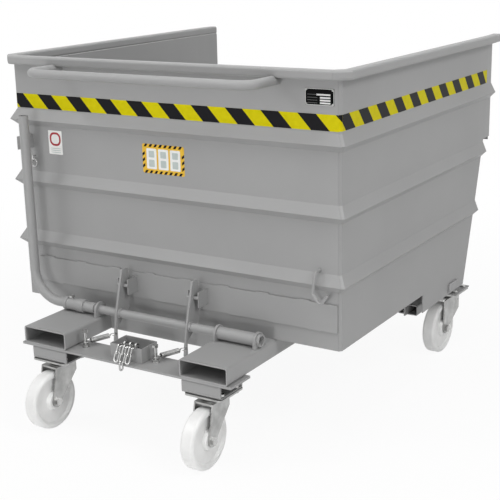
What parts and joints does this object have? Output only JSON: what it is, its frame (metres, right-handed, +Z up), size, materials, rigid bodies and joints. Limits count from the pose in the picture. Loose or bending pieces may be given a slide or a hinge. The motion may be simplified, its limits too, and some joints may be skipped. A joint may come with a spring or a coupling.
{
  "type": "tipping skip trolley",
  "caption": "Sheet-steel tipping skip with pressed ribs on a caster frame with fork pockets, held shut by a sprung release lever and tipped forward about front pivots to empty",
  "frame": {"origin": "on the floor, at the middle of the bounding box in X and Y", "axes": "+Z up, +Y the way the hopper tips, +X to the right for someone pushing the handle"},
  "size_m": [1.368, 1.6805, 1.231],
  "materials": {
    "grey_paint": "satin powder coat",
    "zinc_plated": "bright zinc plate",
    "white_nylon": "turned nylon",
    "pedal_steel": "dull pressed steel",
    "black_plate": "black lacquered plate, blank"
  },
  "bodies": {
    "frame": {"fork_pocket_left": "grey_paint", "fork_pocket_right": "grey_paint", "rear_cross_plate": "grey_paint", "rear_spacers": "grey_paint", "rear_cross_beam": "grey_paint", "front_cross_plate": "grey_paint", "front_beams": "grey_paint", "beam_webs": "grey_paint", "caster_seats": "grey_paint", "shaft_bearings": "grey_paint", "bearing_sleeve": "grey_paint", "pivot_brackets": "grey_paint", "chain_box": "grey_paint", "safety_chain": "zinc_plated", "spring_posts": "zinc_plated", "spring_left": "zinc_plated", "spring_right": "zinc_plated", "caster_plates": "zinc_plated", "caster_bolts": "zinc_plated"},
    "hopper": {"rear_wall": "grey_paint", "side_wall_left": "grey_paint", "side_wall_right": "grey_paint", "hopper_floor": "grey_paint", "front_wall": "grey_paint", "rim_rear": "grey_paint", "rim_left": "grey_paint", "rim_right": "grey_paint", "rim_gussets": "grey_paint", "doubler_plate": "grey_paint", "push_handle": "grey_paint", "type_plate": "black_plate", "type_plate_rivets": "zinc_plated", "lever_keeper": "grey_paint", "lock_ring": "zinc_plated", "chain_hook": "grey_paint", "latch_brackets": "grey_paint", "latch_pins": "zinc_plated", "skirt_bars": "grey_paint", "pivot_pins": "zinc_plated"},
    "release": {"release_shaft": "grey_paint", "release_lever": "grey_paint", "lever_socket": "grey_paint", "socket_bolt": "zinc_plated", "latch_arm_left": "grey_paint", "latch_arm_right": "grey_paint", "shaft_collars": "grey_paint"},
    "fork_rear_left": {"caster_fork_rear_left": "zinc_plated", "caster_axle_rear_left": "zinc_plated"},
    "wheel_rear_left": {"caster_wheel_rear_left": "white_nylon"},
    "fork_rear_right": {"caster_fork_rear_right": "zinc_plated", "caster_axle_rear_right": "zinc_plated"},
    "wheel_rear_right": {"caster_wheel_rear_right": "white_nylon"},
    "fork_front_left": {"caster_fork_front_left": "zinc_plated", "caster_axle_front_left": "zinc_plated"},
    "wheel_front_left": {"caster_wheel_front_left": "white_nylon"},
    "pedal_front_left": {"brake_pedal_front_left": "pedal_steel"},
    "fork_front_right": {"caster_fork_front_right": "zinc_plated", "caster_axle_front_right": "zinc_plated"},
    "wheel_front_right": {"caster_wheel_front_right": "white_nylon"},
    "pedal_front_right": {"brake_pedal_front_right": "pedal_steel"}
  },
  "joints": [
    {"name": "hopper_tip", "type": "hinge", "parent": "frame", "child": "hopper", "pos_m": [0, 0.548, 0.323], "axis": [-1, 0, 0], "range_deg": [0, 45]},
    {"name": "release_turn", "type": "hinge", "parent": "frame", "child": "release", "pos_m": [0, -0.54, 0.377], "axis": [1, 0, 0], "range_deg": [0, 25], "stiffness_Nm_per_rad": 60, "springref_deg": -5.73, "deforming": ["spring_left", "spring_right"]},
    {"name": "swivel_rear_left", "type": "hinge", "parent": "frame", "child": "fork_rear_left", "pos_m": [-0.31603, -0.675, 0.215], "axis": [0, 0, 1], "continuous": true},
    {"name": "roll_rear_left", "type": "hinge", "parent": "fork_rear_left", "child": "wheel_rear_left", "pos_m": [-0.31943, -0.73991, 0.1], "axis": [0.9986, -0.0523, 0], "continuous": true},
    {"name": "swivel_rear_right", "type": "hinge", "parent": "frame", "child": "fork_rear_right", "pos_m": [0.31603, -0.675, 0.215], "axis": [0, 0, 1], "continuous": true},
    {"name": "roll_rear_right", "type": "hinge", "parent": "fork_rear_right", "child": "wheel_rear_right", "pos_m": [0.31603, -0.74, 0.1], "axis": [1, 0, 0], "continuous": true},
    {"name": "swivel_front_left", "type": "hinge", "parent": "frame", "child": "fork_front_left", "pos_m": [-0.563, 0.629, 0.215], "axis": [0, 0, 1], "continuous": true},
    {"name": "roll_front_left", "type": "hinge", "parent": "fork_front_left", "child": "wheel_front_left", "pos_m": [-0.5613, 0.56402, 0.1], "axis": [0.9997, 0.0262, 0], "continuous": true},
    {"name": "brake_front_left", "type": "hinge", "parent": "fork_front_left", "child": "pedal_front_left", "pos_m": [-0.56418, 0.67398, 0.19], "axis": [-0.9997, -0.0262, 0], "range_deg": [0, 15]},
    {"name": "swivel_front_right", "type": "hinge", "parent": "frame", "child": "fork_front_right", "pos_m": [0.563, 0.629, 0.215], "axis": [0, 0, 1], "continuous": true},
    {"name": "roll_front_right", "type": "hinge", "parent": "fork_front_right", "child": "wheel_front_right", "pos_m": [0.5613, 0.56402, 0.1], "axis": [0.9997, -0.0262, 0], "continuous": true},
    {"name": "brake_front_right", "type": "hinge", "parent": "fork_front_right", "child": "pedal_front_right", "pos_m": [0.56418, 0.67398, 0.19], "axis": [-0.9997, 0.0262, 0], "range_deg": [0, 15]}
  ]
}
